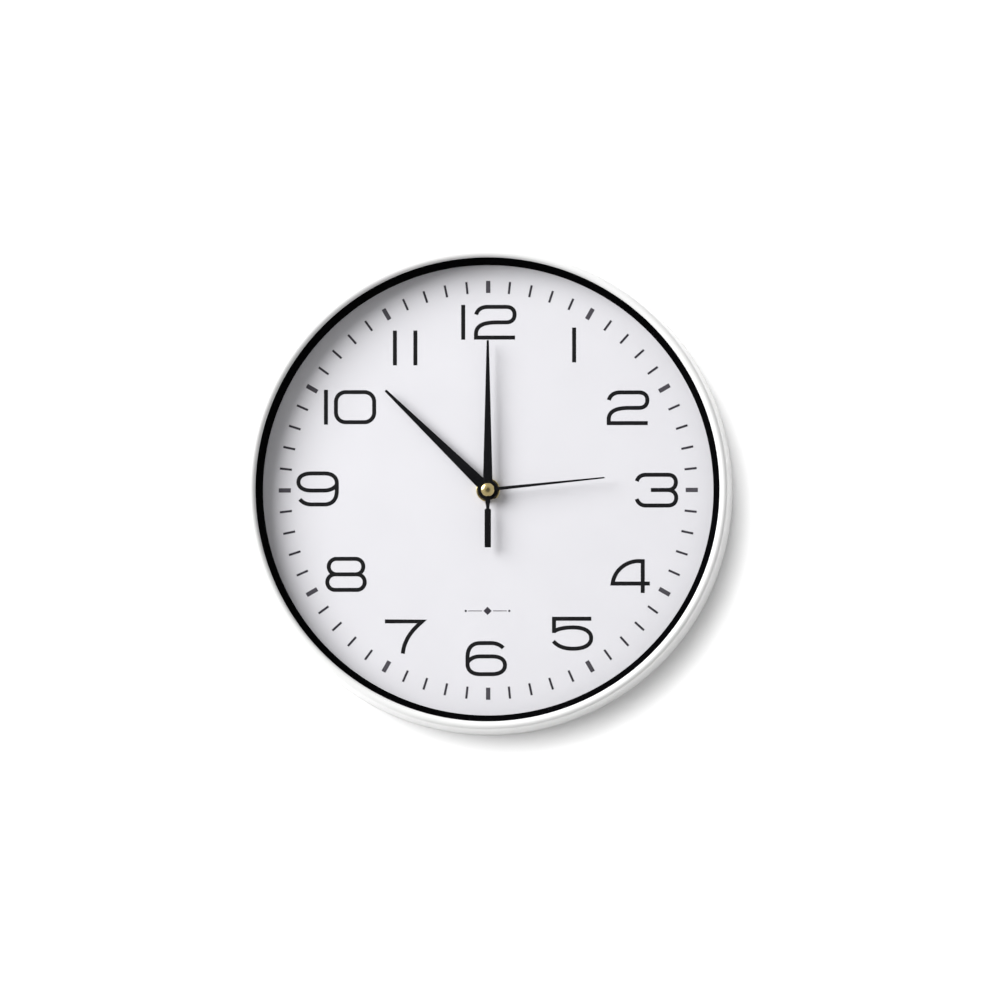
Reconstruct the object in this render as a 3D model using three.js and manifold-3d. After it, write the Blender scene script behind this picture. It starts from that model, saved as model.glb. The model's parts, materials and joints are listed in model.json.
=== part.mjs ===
// Round wall clock: moulded case, glass lens, printed dial, three hands and a battery quartz movement.
//
// Units are millimetres. Every piece is drawn in the assembly group, where the wall is the plane z = 0,
// +z points at the viewer, +y points up and the hands turn about the z axis. The outer group stands that
// up: +Z is up, the front faces -Y, and the origin is the hanging point of the keyhole.
import * as THREE from 'three';
import { mergeVertices } from 'three/addons/utils/BufferGeometryUtils.js';
import Module from 'manifold-3d';

const wasm = await Module();
wasm.setup();

// ---- driving dimensions ----

const caseRadius = 152.5;
const caseDepth = 42;
const wallThickness = 2.6;
const sideDraft = 2.6;
const innerDraft = 2.2;
const rollRadius = 2.6;
const lipDepth = 1.1;
const lensThickness = 2;
const dialThickness = 1;
const dialRadius = 144;
const ringFaceRadius = 140.7;
const hangHeight = 112;
const fitGap = 0.3;
const ringSegments = 60;

const coverRear = 2.6;
const coverThickness = 2;
const coverWindow = 60;
const coverRibRear = 1.2;
const windowRibWidth = 3;
const keySlotRadius = 3;
const keyHeadRadius = 6;
const keyDrop = 10;
const screwCircle = 140;
const screwCount = 6;
const lugWidth = 10;
const lugFootRadius = 135;
const pilotRadius = 1.5;
const pilotDepth = 10;

const movementWidth = 56;
const movementRear = 5.5;
const movementFront = 21;
const movementWall = 1.4;
const movementCorner = 3;
const lidThickness = 1.3;
const bayFloor = 0.9;
const bayBottom = -27.1;
const bayTop = -11.6;
const bayHalfLength = 27;
const batteryRadius = 7.2;
const batteryHalfLength = 24.6;
const contactThickness = 0.4;
const contactRear = 8;
const contactFront = 19.4;
const contactHalfWidth = 4.5;

const hourHandLength = 89.2;
const minuteHandLength = 93.4;
const secondHandLength = 73.3;
const hourRestTurn = THREE.MathUtils.degToRad(-314.2);
const secondRestTurn = THREE.MathUtils.degToRad(-84.2);
const handThickness = 0.6;

// heights above the wall
const dialRear = movementFront + 1.4;
const dialFront = dialRear + dialThickness;
const nutRear = dialFront + 1;
const nutFront = dialFront + 3;
const hourHandRear = 29;
const minuteHandRear = 30.8;
const secondHandRear = 32.6;
const capRear = 33.3;
const capFront = 35;
const lensRear = 36;
const lensFront = lensRear + lensThickness;

// nested arbors on the hand axis
const bushingRadius = 4;
const hourPipe = { outer: 2.7, bore: 2 };
const minutePipe = { outer: 1.7, bore: 0.95 };
const secondArbor = 0.65;
const pivotRadius = 0.4;

// gear axes, seen from the front
const handAxis = [0, 0];
const rotorAxis = [-12, 6.9];
const thirdAxis = [-6.95, 1.86];
const intermediateAxis = [2.64, 9.85];
const reverseAxis = [9, 0];
const settingAxis = [18.45, 0];

// ---- finishes ----

function finish(color, roughness, metalness = 0) {
  return new THREE.MeshStandardMaterial({ color, roughness, metalness });
}

const whitePlastic = finish(0xf3f3f1, 0.35);
const blackPlastic = finish(0x0b0b0d, 0.4);
const glass = new THREE.MeshStandardMaterial({
  color: 0xf4f8fa, roughness: 0.05, metalness: 0, transparent: true, opacity: 0.2,
});
const dialPaper = finish(0xe8e8ee, 0.6);
const handPaint = finish(0x111113, 0.45);
const brass = finish(0xc9a24a, 0.28, 1);
const steel = finish(0xb4b6b8, 0.35, 1);
const magnetSteel = finish(0x3a3b3e, 0.5, 0.6);
const copperWire = finish(0xa9552c, 0.4, 0.8);
const gearPlastic = finish(0xe9e6da, 0.5);
const movementPlastic = finish(0x17181a, 0.5);
const rubber = finish(0x1c1c1c, 0.85);
const boardResin = finish(0x2f6b3f, 0.6);
const batterySleeve = finish(0x2b4f7d, 0.35, 0.2);

// ---- geometry helpers ----

function toSolid(geometry) {
  const bare = geometry.clone();
  bare.deleteAttribute('normal');
  bare.deleteAttribute('uv');
  const merged = mergeVertices(bare, 1e-4);
  const index = merged.index.array;
  const triVerts = [];
  for (let i = 0; i < index.length; i += 3) {
    const [a, b, c] = [index[i], index[i + 1], index[i + 2]];
    if (a !== b && b !== c && c !== a) {
      triVerts.push(a, b, c);
    }
  }
  const mesh = new wasm.Mesh({
    numProp: 3,
    vertProperties: merged.attributes.position.array,
    triVerts: new Uint32Array(triVerts),
  });
  return new wasm.Manifold(mesh);
}

function toGeometry(solid) {
  const { vertProperties, triVerts } = solid.getMesh();
  const geometry = new THREE.BufferGeometry();
  geometry.setAttribute('position', new THREE.BufferAttribute(vertProperties, 3));
  geometry.setIndex(new THREE.BufferAttribute(triVerts, 1));
  geometry.computeVertexNormals();
  return geometry;
}

function join(first, ...others) {
  return toGeometry(others.reduce((sum, other) => sum.add(toSolid(other)), toSolid(first)));
}

function cut(piece, ...tools) {
  return toGeometry(tools.reduce((rest, tool) => rest.subtract(toSolid(tool)), toSolid(piece)));
}

// Turns a profile of [radius, z] pairs, listed anticlockwise, about the z axis.
function turned(profile, segments = ringSegments) {
  const points = profile.map(([radius, z]) => new THREE.Vector2(radius, z));
  if (points[0].x > 0) {
    points.push(points[0].clone());
  }
  const geometry = new THREE.LatheGeometry(points, segments);
  geometry.rotateX(Math.PI / 2);
  return geometry;
}

function tube(outer, bore, z0, z1, segments = 18) {
  return turned([[bore, z0], [outer, z0], [outer, z1], [bore, z1]], segments);
}

function rod(radius, z0, z1, [x, y] = handAxis, segments = 12) {
  const geometry = new THREE.CylinderGeometry(radius, radius, z1 - z0, segments);
  geometry.rotateX(Math.PI / 2);
  geometry.translate(x, y, (z0 + z1) / 2);
  return geometry;
}

function rodAlongX(radius, x0, x1, y, z, segments = 20) {
  const geometry = new THREE.CylinderGeometry(radius, radius, x1 - x0, segments);
  geometry.rotateZ(-Math.PI / 2);
  geometry.translate((x0 + x1) / 2, y, z);
  return geometry;
}

function block(x0, x1, y0, y1, z0, z1) {
  const geometry = new THREE.BoxGeometry(x1 - x0, y1 - y0, z1 - z0);
  geometry.translate((x0 + x1) / 2, (y0 + y1) / 2, (z0 + z1) / 2);
  return geometry;
}

function extruded(shape, z0, z1, curveSegments = 4) {
  const geometry = new THREE.ExtrudeGeometry(shape, { depth: z1 - z0, bevelEnabled: false, curveSegments });
  geometry.translate(0, 0, z0);
  return geometry;
}

function outline(points) {
  return new THREE.Shape(points.map(([x, y]) => new THREE.Vector2(x, y)));
}

function roundedRectangle(x0, x1, y0, y1, radius) {
  const shape = new THREE.Shape();
  shape.absarc(x1 - radius, y1 - radius, radius, 0, Math.PI / 2, false);
  shape.absarc(x0 + radius, y1 - radius, radius, Math.PI / 2, Math.PI, false);
  shape.absarc(x0 + radius, y0 + radius, radius, Math.PI, 1.5 * Math.PI, false);
  shape.absarc(x1 - radius, y0 + radius, radius, 1.5 * Math.PI, 2 * Math.PI, false);
  return shape;
}

// A gear outline with slim straight-sided teeth; one tooth points along the phase angle.
function gearOutline(teeth, module, phase, [x, y]) {
  const pitchAngle = (2 * Math.PI) / teeth;
  const pitchRadius = (module * teeth) / 2;
  const rootRadius = pitchRadius - 0.95 * module;
  const tipRadius = pitchRadius + 0.65 * module;
  const corners = [[rootRadius, -0.24], [tipRadius, -0.1], [tipRadius, 0.1], [rootRadius, 0.24]];
  const points = [];
  for (let tooth = 0; tooth < teeth; tooth += 1) {
    for (const [radius, share] of corners) {
      const angle = phase + (tooth + share) * pitchAngle;
      points.push([x + radius * Math.cos(angle), y + radius * Math.sin(angle)]);
    }
  }
  return outline(points);
}

function gear(spec, z0, z1, boreRadius = 0) {
  const shape = gearOutline(spec.teeth, spec.module, spec.phase, spec.axis);
  if (boreRadius > 0) {
    const bore = new THREE.Path();
    bore.absarc(spec.axis[0], spec.axis[1], boreRadius, 0, 2 * Math.PI, true);
    shape.holes.push(bore);
  }
  return extruded(shape, z0, z1);
}

// Sets the phase of a driven gear so that one of its gaps faces a tooth of the gear that drives it.
function meshed(driver, teeth, axis) {
  const along = Math.atan2(axis[1] - driver.axis[1], axis[0] - driver.axis[0]);
  const turn = (driver.phase - along) * (driver.teeth / teeth);
  return { teeth, module: driver.module, axis, phase: along + Math.PI + Math.PI / teeth - turn };
}

// ---- assembly ----

const clock = new THREE.Group();
const assembly = new THREE.Group();
assembly.rotation.x = Math.PI / 2;
assembly.position.z = -hangHeight;
clock.add(assembly);

function add(name, geometry, material) {
  const mesh = new THREE.Mesh(geometry, material);
  mesh.name = name;
  assembly.add(mesh);
  return mesh;
}

// ---- case, lens and ring ----

const rollCentre = [caseRadius - sideDraft - rollRadius, caseDepth - rollRadius];
const rollInner = rollCentre[0] - rollRadius;
const lipRear = rollCentre[1] - lipDepth;
const innerRear = caseRadius - wallThickness;
const innerFront = innerRear - innerDraft;

function caseProfile() {
  const profile = [[innerRear, 0], [caseRadius, 0], [caseRadius, 3]];
  const rollSteps = 6;
  for (let step = 0; step <= rollSteps; step += 1) {
    const angle = (Math.PI * step) / rollSteps;
    profile.push([
      rollCentre[0] + rollRadius * Math.cos(angle),
      rollCentre[1] + rollRadius * Math.sin(angle),
    ]);
  }
  profile.push([rollInner, lipRear], [innerFront, lipRear]);
  return profile;
}

function screwAngle(number) {
  return ((number - 1) * 2 * Math.PI) / screwCount;
}

function caseRing() {
  const lugRear = coverRear + coverThickness + fitGap;
  const lugFront = dialRear - fitGap;
  let body = toSolid(turned(caseProfile()));
  for (let number = 1; number <= screwCount; number += 1) {
    const lug = block(lugFootRadius, innerRear + 0.3, -lugWidth / 2, lugWidth / 2, lugRear, lugFront);
    const pilot = rod(pilotRadius, lugRear - 1, lugRear + pilotDepth, [screwCircle, 0]);
    const drilled = cut(lug, pilot);
    drilled.rotateZ(screwAngle(number));
    body = body.add(toSolid(drilled));
  }
  return toGeometry(body);
}

function innerRing() {
  const footRear = dialFront + fitGap;
  const footWidth = 1.8;
  const footHeight = 1.4;
  const flangeFront = lensRear - fitGap;
  const flangeRear = flangeFront - 1.2;
  const flangeRadius = innerFront - 0.45;
  return turned([
    [ringFaceRadius, footRear],
    [ringFaceRadius + footWidth, footRear],
    [rollInner + 0.4, flangeRear],
    [flangeRadius, flangeRear],
    [flangeRadius, flangeFront],
    [rollInner - 0.3, flangeFront],
    [ringFaceRadius, footRear + footHeight],
  ]);
}

function lens() {
  const radius = innerFront - 0.5;
  const chamfer = 0.4;
  return turned([
    [0, lensRear],
    [radius - chamfer, lensRear],
    [radius, lensRear + chamfer],
    [radius, lensFront - chamfer],
    [radius - chamfer, lensFront],
    [0, lensFront],
  ]);
}

add('case_ring', caseRing(), whitePlastic);
add('lens', lens(), glass);
add('inner_ring', innerRing(), blackPlastic);
add('dial', tube(dialRadius, bushingRadius + fitGap, dialRear, dialFront, ringSegments), dialPaper);

// ---- back cover and its screws ----

// The head of the wall screw enters the round hole, and the slot then drops onto its shank.
function keyhole() {
  const neck = Math.asin(keySlotRadius / keyHeadRadius);
  const shape = new THREE.Shape();
  shape.absarc(0, hangHeight, keySlotRadius, 0, Math.PI, false);
  shape.absarc(0, hangHeight - keyDrop, keyHeadRadius, Math.PI / 2 + neck, 2.5 * Math.PI - neck, false);
  return extruded(shape, 0, coverRear + coverThickness + 1);
}

function backCover() {
  const front = coverRear + coverThickness;
  const ribFront = coverRear + 0.4;
  const half = coverWindow / 2;
  const ribHalf = half + windowRibWidth;
  const plate = rod(innerRear - 0.7, coverRear, front, handAxis, ringSegments);
  const ribOutline = roundedRectangle(-ribHalf, ribHalf, -ribHalf, ribHalf, 5);
  const padOutline = roundedRectangle(-12, 12, hangHeight - 20, hangHeight + 9, 4);
  const windowRib = extruded(ribOutline, coverRibRear, ribFront);
  const hangPad = extruded(padOutline, coverRibRear, ribFront);
  const window = extruded(roundedRectangle(-half, half, -half, half, 2), 0, front + 1);
  let body = toSolid(join(plate, windowRib, hangPad)).subtract(toSolid(window));
  body = body.subtract(toSolid(keyhole()));
  for (let number = 1; number <= screwCount; number += 1) {
    const angle = screwAngle(number);
    const place = [screwCircle * Math.cos(angle), screwCircle * Math.sin(angle)];
    body = body.subtract(toSolid(rod(1.6, 0, front + 1, place)));
  }
  return toGeometry(body);
}

function crossHeadScrew() {
  const headRear = 0.7;
  const headFront = coverRear - fitGap;
  const headRadius = 3.4;
  const shankRadius = 1.2;
  const shankLength = 9;
  const body = turned([
    [0, headRear],
    [headRadius - 1, headRear],
    [headRadius, headRear + 0.7],
    [headRadius, headFront],
    [shankRadius, headFront],
    [shankRadius, headFront + shankLength],
    [0, headFront + shankLength + 1],
  ], 12);
  const slotReach = 1.8;
  const slotHalf = 0.35;
  const slotFront = headRear + 0.8;
  const slotAcross = block(-slotReach, slotReach, -slotHalf, slotHalf, 0, slotFront);
  const slotUp = block(-slotHalf, slotHalf, -slotReach, slotReach, 0, slotFront);
  return cut(body, slotAcross, slotUp);
}

add('back_cover', backCover(), whitePlastic);
for (let number = 1; number <= screwCount; number += 1) {
  const screw = add(`cover_screw_${number}`, crossHeadScrew(), steel);
  const angle = screwAngle(number);
  screw.position.set(screwCircle * Math.cos(angle), screwCircle * Math.sin(angle), 0);
  screw.rotation.z = angle + 0.4 * number;
}

// ---- movement shell, and what clamps it to the dial ----

const housingRear = movementRear + lidThickness + fitGap;
const frontWallRear = movementFront - movementWall;
const bridgeRear = 12.2;
const bridgeFront = 12.8;
const bridgePosts = [[-22, 1], [11.2, 12.6], [-9, -7.6], [13.6, -7.6]];
const boardPosts = [[24, 11.5], [24, 24]];
const boardRear = 8.5;
const boardFront = 9.5;

function movementHousing() {
  const half = movementWidth / 2;
  const inner = half - movementWall;
  const open = housingRear - 1;
  const bayWall = 1.2;
  const shellOutline = roundedRectangle(-half, half, -half, half, movementCorner);
  const roomOutline = roundedRectangle(-inner, inner, bayTop + bayWall, inner, 1.5);
  const shell = extruded(shellOutline, housingRear, movementFront);
  const trainRoom = extruded(roomOutline, open, frontWallRear);
  const bayFront = movementFront - bayFloor;
  const batteryBay = block(-bayHalfLength, bayHalfLength, bayBottom, bayTop, open, bayFront);
  const bushingHole = rod(bushingRadius + fitGap, frontWallRear - 1, movementFront + 1, handAxis, 20);
  const fingerNotch = rod(8, open, movementFront - 6, [0, -half - 2], 20);
  let body = toSolid(cut(shell, trainRoom, batteryBay, bushingHole, fingerNotch));
  const postFront = frontWallRear + 0.5;
  for (const place of bridgePosts) {
    body = body.add(toSolid(rod(1.5, bridgeFront + fitGap, postFront, place, 10)));
  }
  for (const place of boardPosts) {
    body = body.add(toSolid(rod(1.3, boardFront + fitGap, postFront, place, 10)));
  }
  const reverseStudRear = 14.5;
  body = body.add(toSolid(rod(0.6, reverseStudRear, postFront, reverseAxis, 10)));
  return toGeometry(body);
}

function movementCover() {
  const half = movementWidth / 2;
  const open = movementRear - 1;
  const ventHalf = 1.4;
  const lidOutline = roundedRectangle(-half, half, bayTop + fitGap, half, movementCorner);
  const lid = extruded(lidOutline, movementRear, movementRear + lidThickness);
  const shaftHole = rod(2, open, housingRear, settingAxis, 16);
  const vents = [-18, -12, -6].map((x) => block(x - ventHalf, x + ventHalf, 20, 22, open, housingRear));
  return cut(lid, shaftHole, ...vents);
}

function threadedBushing() {
  const flangeFront = frontWallRear - fitGap;
  const flangeRear = flangeFront - 1.2;
  const flangeRadius = 5.5;
  const bore = 3;
  const front = nutFront + 1;
  const chamfer = 0.4;
  return turned([
    [bore, flangeRear],
    [flangeRadius, flangeRear],
    [flangeRadius, flangeFront],
    [bushingRadius, flangeFront],
    [bushingRadius, front - chamfer],
    [bushingRadius - chamfer, front],
    [bore, front],
  ], 24);
}

// A round nut with two flats for the spanner.
function dialNut() {
  const radius = 7.4;
  const acrossFlats = 12.4;
  const restTurn = THREE.MathUtils.degToRad(15);
  const body = rod(radius, nutRear, nutFront, handAxis, 36);
  const upperFlat = block(-radius, radius, acrossFlats / 2, radius + 1, dialFront, nutFront + 1);
  const lowerFlat = block(-radius, radius, -radius - 1, -acrossFlats / 2, dialFront, nutFront + 1);
  const bore = rod(bushingRadius + fitGap, dialFront, nutFront + 1, handAxis, 24);
  const nut = cut(body, upperFlat, lowerFlat, bore);
  return nut.rotateZ(restTurn);
}

add('movement_housing', movementHousing(), movementPlastic);
add('movement_cover', movementCover(), movementPlastic);
add('threaded_bushing', threadedBushing(), brass);

const washerBore = bushingRadius + fitGap;
add('rubber_washer', tube(7.6, washerBore, movementFront + 0.2, dialRear - 0.2), rubber);
add('brass_washer', tube(6.4, washerBore, dialFront + fitGap, nutRear - fitGap), brass);
add('dial_nut', dialNut(), brass);

// ---- fixed pieces inside the movement ----

function trainBridge() {
  const plate = outline([
    [-24, -9.6],
    [16, -9.6],
    [16, 13.6],
    [9, 16],
    [-3.6, 16],
    [-3.6, 13],
    [-24, 13],
  ]);
  const holes = [
    [handAxis, secondArbor + 0.3],
    [rotorAxis, pivotRadius + 0.3],
    [thirdAxis, pivotRadius + 0.3],
    [intermediateAxis, 0.95],
  ];
  const bores = holes.map(([place, radius]) => rod(radius, bridgeRear - 1, bridgeFront + 1, place));
  return cut(extruded(plate, bridgeRear, bridgeFront), ...bores);
}

// The coil lies along x above the rotor, between its left and right ends.
const statorRear = 10.1;
const statorFront = 10.8;
const coilHeight = 21.5;
const coilDepth = 12.6;
const coilLeft = -21.8;
const coilRight = -4.8;
const spoolRadius = 2.4;
const windingRadius = 3.9;

function stator() {
  const poles = rod(5, statorRear, statorFront, rotorAxis, 24);
  const leftLeg = outline([
    [-26, 12],
    [-15, 3.2],
    [-13, 10],
    [-22.6, 16],
    [-22.6, 24],
    [-26, 24],
  ]);
  const rightLeg = outline([
    [-8.4, 5],
    [-7.6, 8.4],
    [-4.2, 15.4],
    [-0.9, 18],
    [-0.9, 24],
    [-4.2, 24],
    [-4.2, 17],
    [-11.4, 10],
  ]);
  const legs = [leftLeg, rightLeg].map((leg) => extruded(leg, statorRear, statorFront));
  const rotorRoom = rod(3.5, statorRear - 1, statorFront + 1, rotorAxis, 24);
  return cut(join(poles, ...legs), rotorRoom);
}

// A bar along x about the coil's own axis.
function coilBar(x0, x1, halfHeight, halfDepth) {
  const [low, high] = [coilHeight - halfHeight, coilHeight + halfHeight];
  return block(x0, x1, low, high, coilDepth - halfDepth, coilDepth + halfDepth);
}

function coilBobbin() {
  const flange = 4.2;
  const flangeThickness = 1;
  const leftFlange = coilBar(coilLeft, coilLeft + flangeThickness, flange, flange);
  const rightFlange = coilBar(coilRight - flangeThickness, coilRight, flange, flange);
  const spool = rodAlongX(spoolRadius, coilLeft + 0.8, coilRight - 0.8, coilHeight, coilDepth, 16);
  const bore = coilBar(coilLeft - 1, coilRight + 1, 1.5, 1);
  return cut(join(spool, leftFlange, rightFlange), bore);
}

function coilWinding() {
  const turns = rodAlongX(windingRadius, coilLeft + 1.3, coilRight - 1.3, coilHeight, coilDepth, 20);
  const core = rodAlongX(spoolRadius + fitGap, coilLeft, coilRight, coilHeight, coilDepth, 20);
  return cut(turns, core);
}

function coilCore() {
  const half = 1.2;
  const footWidth = 2.6;
  const [left, right] = [-25.6, -1.2];
  const [low, high] = [coilHeight - half, coilHeight + half];
  const bar = coilBar(left, right, half, 0.7);
  const leftFoot = block(left, left + footWidth, low, high, statorFront + fitGap, coilDepth);
  const rightFoot = block(right - footWidth, right, low, high, statorFront + fitGap, coilDepth);
  return join(bar, leftFoot, rightFoot);
}

function circuitBoard() {
  return extruded(roundedRectangle(12.8, 26, 9.5, 26, 0.8), boardRear, boardFront);
}

// The blob of black resin over the chip, on the rear face of the board.
function chipCover() {
  const front = boardRear - fitGap;
  const dome = turned([[0, front - 1], [1.8, front - 0.9], [2.6, front - 0.5], [2.9, front], [0, front]], 16);
  return dome.translate(19, 20, 0);
}

add('train_bridge', trainBridge(), gearPlastic);
add('stator', stator(), steel);
add('coil_core', coilCore(), steel);
add('coil_bobbin', coilBobbin(), gearPlastic);
add('coil_winding', coilWinding(), copperWire);
add('circuit_board', circuitBoard(), boardResin);
add('chip_cover', chipCover(), rubber);
add('crystal_can', rodAlongX(1, 14.5, 20.5, 13.5, 10.9, 12), steel);

// ---- battery and its contacts ----

const batteryHeight = (bayBottom + bayTop) / 2;
const batteryDepth = movementRear + batteryRadius - 0.1;
const contactOuter = bayHalfLength - 0.4;
const contactInner = contactOuter - contactThickness;

function contactPlate(x0, x1) {
  const [low, high] = [batteryHeight - contactHalfWidth, batteryHeight + contactHalfWidth];
  return block(x0, x1, low, high, contactRear, contactFront);
}

function positiveContact() {
  const [tabLow, tabHigh] = [bayTop - 4.5, bayTop - 0.4];
  const tab = block(contactInner, contactOuter, tabLow, tabHigh, contactRear - 0.6, contactRear + 1);
  return join(contactPlate(contactInner, contactOuter), tab);
}

function negativeContact() {
  const springEnd = -batteryHalfLength - 0.5;
  const spring = rodAlongX(3, -contactOuter + 0.2, springEnd, batteryHeight, batteryDepth, 16);
  return join(contactPlate(-contactOuter, -contactInner), spring);
}

function batteryCan() {
  const plusEnd = batteryHalfLength - 0.6;
  return rodAlongX(batteryRadius, -batteryHalfLength, plusEnd, batteryHeight, batteryDepth, 28);
}

function batteryTerminal() {
  const discLeft = batteryHalfLength - 0.3;
  const discRight = batteryHalfLength + 0.1;
  const nubRight = batteryHalfLength + 1.2;
  const disc = rodAlongX(4.6, discLeft, discRight, batteryHeight, batteryDepth, 16);
  const nub = rodAlongX(2.7, batteryHalfLength, nubRight, batteryHeight, batteryDepth, 16);
  return join(disc, nub);
}

add('positive_contact', positiveContact(), steel);
add('negative_contact', negativeContact(), steel);
add('battery_can', batteryCan(), batterySleeve);
add('battery_terminal', batteryTerminal(), steel);

// ---- going train: rotor, third wheel, seconds wheel, intermediate wheel, centre wheel ----

const rotorPinion = { teeth: 6, module: 0.34, axis: rotorAxis, phase: 0 };
const thirdWheel = meshed(rotorPinion, 36, thirdAxis);
const thirdPinion = { teeth: 6, module: 0.4, axis: thirdAxis, phase: 0 };
const secondsWheel = meshed(thirdPinion, 30, handAxis);
const secondsPinion = { teeth: 6, module: 0.4, axis: handAxis, phase: 0 };
const intermediateWheel = meshed(secondsPinion, 45, intermediateAxis);
const intermediatePinion = { teeth: 6, module: 0.3778, axis: intermediateAxis, phase: 0 };
const centreWheel = meshed(intermediatePinion, 48, handAxis);

const pivotRear = housingRear + 0.1;
const pivotFront = bridgeFront - 0.1;

add('rotor_pinion', join(
  gear(rotorPinion, 7.8, 8.6),
  rod(pivotRadius, pivotRear, pivotFront, rotorAxis),
), gearPlastic);
add('rotor_magnet', cut(
  rod(3, 9.7, 11.7, rotorAxis, 20),
  rod(pivotRadius + fitGap, 9, 12.1, rotorAxis),
), magnetSteel);
add('third_wheel', join(
  gear(thirdWheel, 7.9, 8.5),
  gear(thirdPinion, 8.4, 10.4),
  rod(pivotRadius, pivotRear, pivotFront, thirdAxis),
), gearPlastic);
add('seconds_wheel', join(
  gear(secondsWheel, 9, 9.9),
  gear(secondsPinion, 9.8, 11.9),
  rod(secondArbor, 8.8, secondHandRear - fitGap),
  rod(pivotRadius, pivotRear, 9),
), gearPlastic);
add('intermediate_wheel', join(
  gear(intermediateWheel, 11, 11.8),
  gear(intermediatePinion, 13.1, 14.2),
  rod(0.6, pivotRear, 13.3, intermediateAxis),
), gearPlastic);
add('centre_wheel', gear(centreWheel, 13.2, 14, minutePipe.outer + fitGap), gearPlastic);

// ---- motion work: cannon pinion, reverse wheel, hour wheel, setting pinion and knob ----

const cannonPinion = { teeth: 10, module: 0.45, axis: handAxis, phase: 0 };
const reverseWheel = meshed(cannonPinion, 30, reverseAxis);
const reversePinion = { teeth: 8, module: 0.45, axis: reverseAxis, phase: 0 };
const hourWheel = meshed(reversePinion, 32, handAxis);
const settingPinion = meshed(reverseWheel, 12, settingAxis);

add('minute_arbor', cut(
  join(
    rod(minutePipe.outer, 13, minuteHandRear + handThickness + 0.2, handAxis, 16),
    gear(cannonPinion, 14.3, 16),
  ),
  rod(minutePipe.bore, 12, minuteHandRear + 2),
), brass);
add('reverse_wheel', cut(
  join(gear(reverseWheel, 14.8, 15.6), gear(reversePinion, 15.5, 17.8)),
  rod(0.9, 14, 18.4, reverseAxis),
), gearPlastic);
add('hour_wheel', cut(
  join(
    gear(hourWheel, 16.6, 17.6),
    rod(hourPipe.outer, 16.6, hourHandRear + handThickness, handAxis, 20),
  ),
  rod(hourPipe.bore, 16, hourHandRear + 2, handAxis, 16),
), gearPlastic);
add('setting_pinion', join(
  gear(settingPinion, 14.6, 15.8),
  rod(1.3, 4, 14.8, settingAxis),
), gearPlastic);

function settingKnob() {
  const radius = 5.4;
  const rear = 2;
  const front = 5;
  const knurls = 18;
  const points = [];
  for (let step = 0; step < 2 * knurls; step += 1) {
    const angle = (Math.PI * step) / knurls;
    const reach = step % 2 === 0 ? radius : radius - 0.5;
    points.push([settingAxis[0] + reach * Math.cos(angle), settingAxis[1] + reach * Math.sin(angle)]);
  }
  const wheel = extruded(outline(points), rear, front);
  const shaftHole = rod(1.6, front - 1.3, front + 1, settingAxis);
  const [left, right] = [settingAxis[0] - radius + 0.5, settingAxis[0] + radius - 0.5];
  const coinSlot = block(left, right, -0.6, 0.6, rear - 1, rear + 0.6);
  return cut(wheel, shaftHole, coinSlot);
}

add('setting_knob', settingKnob(), movementPlastic);

// ---- hands ----

// A tapered blade that points up, from its hub to a narrow square tip.
function blade(baseWidth, tipWidth, length) {
  return outline([
    [-baseWidth / 2, 0],
    [baseWidth / 2, 0],
    [tipWidth / 2, length],
    [-tipWidth / 2, length],
  ]);
}

// A flat hand on a thicker bush that grips its arbor.
function hand(shapes, { rear, thickness, hubRadius, boreRadius, bushRadius, bushLength }) {
  const front = rear + thickness;
  const bushRear = rear - bushLength;
  const hub = rod(hubRadius, rear, front, handAxis, 28);
  const bush = rod(bushRadius, bushRear, front, handAxis, 20);
  const blades = shapes.map((shape) => extruded(shape, rear, front));
  return cut(join(hub, bush, ...blades), rod(boreRadius, bushRear - 1, front + 1, handAxis, 16));
}

// The counterweight of the minute hand: a tapering neck that widens to a bar.
function minuteTail() {
  const rightSide = [[2, -36], [2, -12.4], [0.9, -11.6], [2.6, 0]];
  const leftSide = rightSide.map(([x, y]) => [-x, y]).reverse();
  return outline([...leftSide, ...rightSide]);
}

const hourHand = add('hour_hand', hand([blade(7.2, 1.6, hourHandLength)], {
  rear: hourHandRear,
  thickness: handThickness,
  hubRadius: 6.2,
  boreRadius: hourPipe.outer + fitGap,
  bushRadius: 3.9,
  bushLength: 1.2,
}), handPaint);
hourHand.rotation.z = hourRestTurn;

add('minute_hand', hand([blade(6.2, 1.4, minuteHandLength), minuteTail()], {
  rear: minuteHandRear,
  thickness: handThickness,
  hubRadius: 6.1,
  boreRadius: minutePipe.outer + fitGap,
  bushRadius: 2.8,
  bushLength: 0.8,
}), handPaint);

const secondHand = add('second_hand', hand([blade(2.2, 0.9, secondHandLength)], {
  rear: secondHandRear,
  thickness: 0.4,
  hubRadius: 2.8,
  boreRadius: secondArbor + fitGap,
  bushRadius: 1.6,
  bushLength: 0.6,
}), handPaint);
secondHand.rotation.z = secondRestTurn;

function hubCap() {
  const radius = 4.2;
  const profile = [[0, capRear], [radius - 0.3, capRear]];
  const steps = 6;
  for (let step = 0; step <= steps; step += 1) {
    const angle = (Math.PI / 2) * (step / steps);
    profile.push([radius * Math.cos(angle), capRear + 0.3 + (capFront - capRear - 0.3) * Math.sin(angle)]);
  }
  profile[profile.length - 1][0] = 0;
  return turned(profile, 28);
}

add('hub_cap', hubCap(), brass);

export default clock;
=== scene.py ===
import json
import math

import bmesh
import bpy
from mathutils import Matrix, Vector
from mathutils.geometry import interpolate_bezier


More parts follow.
